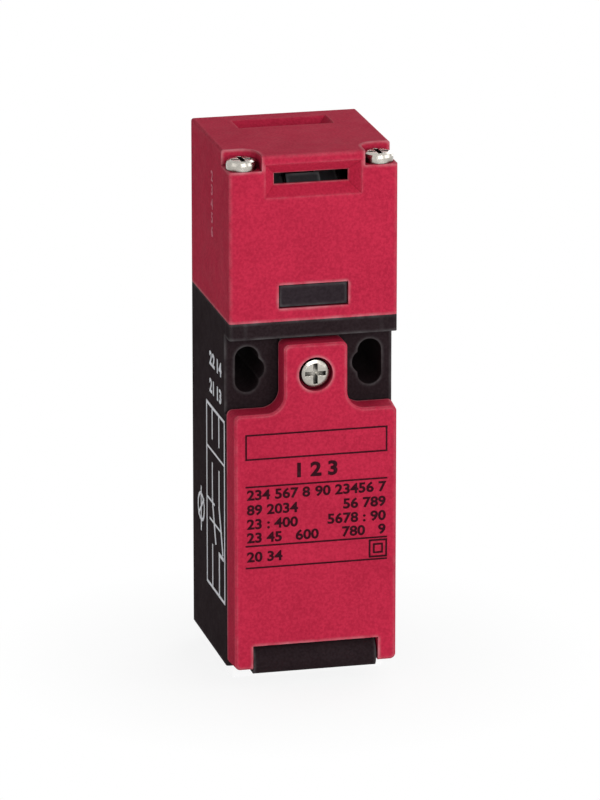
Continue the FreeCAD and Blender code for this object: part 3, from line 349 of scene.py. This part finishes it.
cover_ink = ink("cover_ink", (0.03, 0.004, 0.009)).material
side_ink = ink("side_ink", (0.85, 0.86, 0.9)).material
head_ink = ink("head_ink", (0.62, 0.16, 0.22)).material
block_ink = ink("block_ink", (0.12, 0.12, 0.13)).material

# Printed marks, whose places and sizes are in millimetres

INK_LIFT = 0.00002
INK_THICK = 0.00003
STROKE_STEP = 0.08
STROKE_LEVELS = 16
CIRCLE_STEPS = 22
LETTER_STRETCH = 1.12


class Face:
    """A flat face to print on: its own across and up axes, and the body that it moves with."""

    def __init__(self, name, body, origin, across, up, material):
        self.name = name
        self.body = body
        self.material = material
        self.count = 0
        self.laid = 0
        out = across.cross(up)
        turn = Matrix((across, up, out)).transposed().to_4x4()
        self.matrix = Matrix.Translation(origin + out * INK_LIFT) @ turn

    def keep(self, mesh):
        """Turn a flat mesh in face millimetres into a printed piece on the part."""
        self.count += 1
        piece = bpy.data.objects.new(f"{self.name}_{self.count}", mesh)
        mesh.transform(self.matrix @ Matrix.Scale(MM, 4))
        mesh.materials.clear()
        mesh.materials.append(self.material)
        bpy.context.scene.collection.objects.link(piece)
        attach(piece, self.body)

    def strokes(self, lines, width):
        """Straight strokes as thin slabs, whose tops never share a plane where they cross."""
        sheet = bmesh.new()
        for (x0, y0), (x1, y1) in lines:
            self.laid += 1
            depth = INK_THICK / MM * (1.0 + STROKE_STEP * (self.laid % STROKE_LEVELS))
            length = math.hypot(x1 - x0, y1 - y0) + width
            place = Matrix.Translation(((x0 + x1) / 2, (y0 + y1) / 2, depth / 2))
            turn = Matrix.Rotation(math.atan2(y1 - y0, x1 - x0), 4, "Z")
            size = Matrix.Diagonal((length, width, depth, 1.0))
            bmesh.ops.create_cube(sheet, size=1.0, matrix=place @ turn @ size)
        mesh = bpy.data.meshes.new(self.name)
        sheet.to_mesh(mesh)
        sheet.free()
        self.keep(mesh)

    def ring(self, points, width):
        """Strokes from each point to the next, and from the last to the first."""
        self.strokes(list(zip(points, points[1:] + points[:1])), width)

    def box(self, low, high, width):
        (x0, y0), (x1, y1) = low, high
        self.ring([(x0, y0), (x1, y0), (x1, y1), (x0, y1)], width)

    def circle(self, centre, radius, width):
        x, y = centre
        turns = [math.tau * i / CIRCLE_STEPS for i in range(CIRCLE_STEPS)]
        self.ring([(x + radius * math.cos(turn), y + radius * math.sin(turn)) for turn in turns], width)

    def digits(self, text, place, size, align="LEFT", spacing=1.0, bold=0.028):
        """Plain numbers in the built-in letter shapes, made heavier by a share of their size."""
        curve = bpy.data.curves.new(self.name, "FONT")
        curve.body = text
        curve.size = size
        curve.align_x = align
        curve.align_y = "CENTER"
        curve.space_character = spacing
        curve.offset = bold * size
        curve.extrude = INK_THICK / MM / 2
        curve.resolution_u = 3
        holder = bpy.data.objects.new(self.name, curve)
        bpy.context.scene.collection.objects.link(holder)
        bpy.context.view_layer.update()
        mesh = bpy.data.meshes.new_from_object(holder)
        bpy.data.objects.remove(holder)
        raise_up = Matrix.Translation((place[0], place[1], INK_THICK / MM / 2))
        mesh.transform(raise_up @ Matrix.Diagonal((LETTER_STRETCH, 1.0, 1.0, 1.0)))
        self.keep(mesh)


def print_cover():
    """The cover's print: an empty frame, rules, rows of plain numbers and the double square."""
    face = Face("cover_print", "cover", Vector((0.0, COVER_FRONT, 0.0)), RIGHT, UP, cover_ink)
    left, right = -12.5, 12.7
    frame_bottom, frame_top, frame_line = 39.7, 44.1, 0.28
    face.box((left, frame_bottom), (right, frame_top), frame_line)
    rule_heights, rule_line = (34.7, 23.9, 19.9), 0.27
    for height in rule_heights:
        face.strokes([((left, height), (right, height))], rule_line)
    title_height, title_size, title_bold = 37.1, 3.5, 0.036
    face.digits("1 2 3", (0.0, title_height), title_size, "CENTER", bold=title_bold)
    text_left, text_right, text_size = left + 0.1, right - 0.1, 2.5
    rows = (
        (33.1, "234 567 8", "90 23456 7"),
        (30.4, "89 2034", "56 789"),
        (27.8, "23 : 400", "5678 : 90"),
        (25.3, "23 45   600", "780   9"),
    )
    for height, first, second in rows:
        face.digits(first, (text_left, height), text_size)
        face.digits(second, (text_right, height), text_size, "RIGHT")
    last_row = 21.8
    face.digits("20 34", (text_left, last_row), text_size)
    square_x, square_z = 11.2, 21.9
    for half, width in ((1.5, 0.3), (0.75, 0.28)):
        face.box((square_x - half, square_z - half), (square_x + half, square_z + half), width)


def print_side():
    """The contact diagram on the case's left side: two contacts in a frame, with terminal numbers."""
    face = Face("side_print", "housing", Vector((CASE_LOW.x, 0.0, 0.0)), FORWARD, UP, side_ink)
    line, fine, bar = 0.55, 0.4, 0.7
    left, right, bottom, top = -3.9, 10.0, 11.7, 45.0
    breaking, making = 0.5, 5.8
    pivot, foot, link = 28.0, 19.5, 24.0
    face.box((left, bottom), (right, top), line)
    face.strokes([((left, 37.0), (right, 37.0)), ((left, 27.5), (2.0, 27.5))], fine)
    for across in (breaking, making):
        face.strokes([((across, top), (across, 39.4)), ((across, foot), (across, bottom)),
                      ((across, 34.6), (across, pivot))], line)
    face.strokes([((breaking, pivot), (3.0, 20.8)), ((making, pivot), (8.6, 20.4)),
                  ((making, foot), (8.9, foot))], bar)
    face.strokes([((-1.6, link), (7.6, link))], fine)
    rows = ((48.6, "21", "13"), (53.6, "22", "14"))
    for height, *texts in rows:
        for across, text in zip((breaking, making), texts):
            face.digits(text, (across, height), 3.4, "CENTER", spacing=1.12, bold=0.04)
    sign = -8.6
    face.circle((sign, link), 2.4, line)
    face.strokes([((sign, 27.6), (sign, 19.8)), ((-10.6, 22.2), (-6.6, 25.8))], line)


def print_head():
    """A faint column of plain numbers on the head's left side."""
    face = Face("head_print", "housing", Vector((HEAD_LEFT, 0.0, 0.0)), FORWARD, UP, head_ink)
    across, top, step, size = 1.0, 87.0, 2.5, 2.6
    for place in range(5):
        face.digits(str(place + 2), (across, top - step * place), size, "CENTER")


def print_block():
    """The terminal numbers on the contact block, which show when the cover is open."""
    plateau_setback, upper_drop, lower_rise, aside, size = 1.0, 10.4, 9.5, 3.9, 2.4
    low, high = corners("contact_block_front")
    origin = Vector((0.0, low.y + plateau_setback * MM, 0.0))
    face = Face("block_print", "housing", origin, RIGHT, UP, block_ink)
    rows = ((high.z / MM - upper_drop, "21", "22"), (low.z / MM + lower_rise, "13", "14"))
    for height, left, right in rows:
        face.digits(left, (-aside, height), size, "CENTER")
        face.digits(right, (aside, height), size, "CENTER")


print_cover()
print_side()
print_head()
print_block()

# Setting: floor, lights and camera

CENTRE = Vector((0.0, 0.0, (CAD_BOX[0][2] + CAD_BOX[1][2]) / 2))
FLOOR_SIZE = 4.0
FLOOR_DROP = 0.0024
FLOOR_GREY = 0.86
FLOOR_ROUGHNESS = 0.9
PLINTH_INSET = 0.0015
PLINTH_FRONT = -0.009
SHADOW_NEAR = 0.018
SHADOW_FAR = 0.055
SHADOW_SHARE = 0.13
WORLD_LEVEL = 0.24


def seen_rays(tree):
    """One for the rays that show the surround itself, and nothing for those that light the object."""
    path = tree.nodes.new("ShaderNodeLightPath")
    seen = path.outputs["Is Camera Ray"]
    for kind in ("Is Transmission Ray", "Is Glossy Ray"):
        either = tree.nodes.new("ShaderNodeMath")
        either.operation = "MAXIMUM"
        tree.links.new(seen, either.inputs[0])
        tree.links.new(path.outputs[kind], either.inputs[1])
        seen = either.outputs[0]
    return seen


def floor_material():
    """Pale grey that keeps a faint shadow round the object, and plain white further out."""
    build = Nodes("floor_white")
    build.shader.inputs["Base Color"].default_value = shade(WHITE[:3], FLOOR_GREY)
    build.shader.inputs["Roughness"].default_value = FLOOR_ROUGHNESS
    glow = build.add("Emission")
    glow.inputs["Color"].default_value = WHITE
    glow.inputs["Strength"].default_value = 1.0
    x, y, _ = build.apart()
    away = build.range(build.reach(x, y), SHADOW_NEAR, SHADOW_FAR, 1.0 - SHADOW_SHARE, 1.0)
    blend = build.add("MixShader")
    build.link(build.math("MULTIPLY", seen_rays(build.tree), away), blend.inputs["Fac"])
    build.link(build.shader.outputs[0], blend.inputs[1])
    build.link(glow.outputs[0], blend.inputs[2])
    build.link(blend.outputs[0], build.tree.nodes["Material Output"].inputs["Surface"])
    return build.material


def make_floor():
    """A floor low enough for the open cover, with a thin plinth under the case."""
    ground = CAD_BOX[0][2] - FLOOR_DROP
    bpy.ops.mesh.primitive_plane_add(size=FLOOR_SIZE, location=(0, 0, ground))
    floor = bpy.context.object
    floor.name = "floor"
    low = Vector((CASE_LOW.x + PLINTH_INSET, PLINTH_FRONT, ground))
    high = Vector((CASE_HIGH.x - PLINTH_INSET, CASE_HIGH.y - PLINTH_INSET, CAD_BOX[0][2]))
    block = bmesh.new()
    size = Matrix.Diagonal((*(high - low), 1.0))
    bmesh.ops.create_cube(block, size=1.0, matrix=Matrix.Translation((low + high) / 2) @ size)
    plinth = bpy.data.objects.new("plinth", bpy.data.meshes.new("plinth"))
    block.to_mesh(plinth.data)
    block.free()
    bpy.context.scene.collection.objects.link(plinth)
    material = floor_material()
    for piece in (floor, plinth):
        piece.data.materials.append(material)


def make_world():
    """Soft grey light from all round, seen as white."""
    world = bpy.data.worlds.new("studio")
    bpy.context.scene.world = world
    world.use_nodes = True
    tree = world.node_tree
    back = tree.nodes["Background"]
    white = tree.nodes.new("ShaderNodeBackground")
    for background, level in ((white, 1.0), (back, WORLD_LEVEL)):
        background.inputs["Color"].default_value = WHITE
        background.inputs["Strength"].default_value = level
    blend = tree.nodes.new("ShaderNodeMixShader")
    tree.links.new(seen_rays(tree), blend.inputs["Fac"])
    tree.links.new(back.outputs[0], blend.inputs[1])
    tree.links.new(white.outputs[0], blend.inputs[2])
    tree.links.new(blend.outputs[0], tree.nodes["World Output"].inputs["Surface"])


# Each lamp's name, place and size in metres, and power in watts
LAMPS = (
    ("front_box", (0.05, -0.75, 0.25), 0.45, 3.6),
    ("right_box", (0.65, -0.3, 0.35), 0.5, 1.5),
    ("back_box", (0.5, 0.6, 0.35), 0.6, 3.2),
    ("left_box", (-0.65, -0.25, 0.2), 0.5, 0.6),
    ("top_box", (0.0, 0.1, 0.8), 0.5, 0.3),
)


def make_lamp(name, place, size, power):
    """A square soft box that faces the object."""
    lamp = bpy.data.lights.new(name, "AREA")
    lamp.shape = "SQUARE"
    lamp.size = size
    lamp.energy = power
    holder = bpy.data.objects.new(name, lamp)
    bpy.context.scene.collection.objects.link(holder)
    holder.location = place
    holder.rotation_euler = (CENTRE - Vector(place)).to_track_quat("-Z", "Y").to_euler()


CAMERA_DISTANCE = 1.063
CAMERA_YAW = math.radians(13.6)
CAMERA_PITCH = math.radians(16.5)
CAMERA_LENS = 271.0
CAMERA_TARGET = Vector((0.00098, 0.0, 0.0451))
CAMERA_CLIP = 0.01


def make_camera():
    """A long lens from the front, a little to the left and above."""
    lens = bpy.data.cameras.new("camera")
    lens.lens = CAMERA_LENS
    lens.clip_start = CAMERA_CLIP
    camera = bpy.data.objects.new("camera", lens)
    bpy.context.scene.collection.objects.link(camera)
    forward = Vector((math.sin(CAMERA_YAW) * math.cos(CAMERA_PITCH),
                      math.cos(CAMERA_YAW) * math.cos(CAMERA_PITCH), -math.sin(CAMERA_PITCH)))
    camera.location = CAMERA_TARGET - forward * CAMERA_DISTANCE
    camera.rotation_euler = forward.to_track_quat("-Z", "Y").to_euler()
    bpy.context.scene.camera = camera


make_floor()
make_world()
for lamp in LAMPS:
    make_lamp(*lamp)
make_camera()
bpy.context.scene.view_settings.view_transform = "Standard"
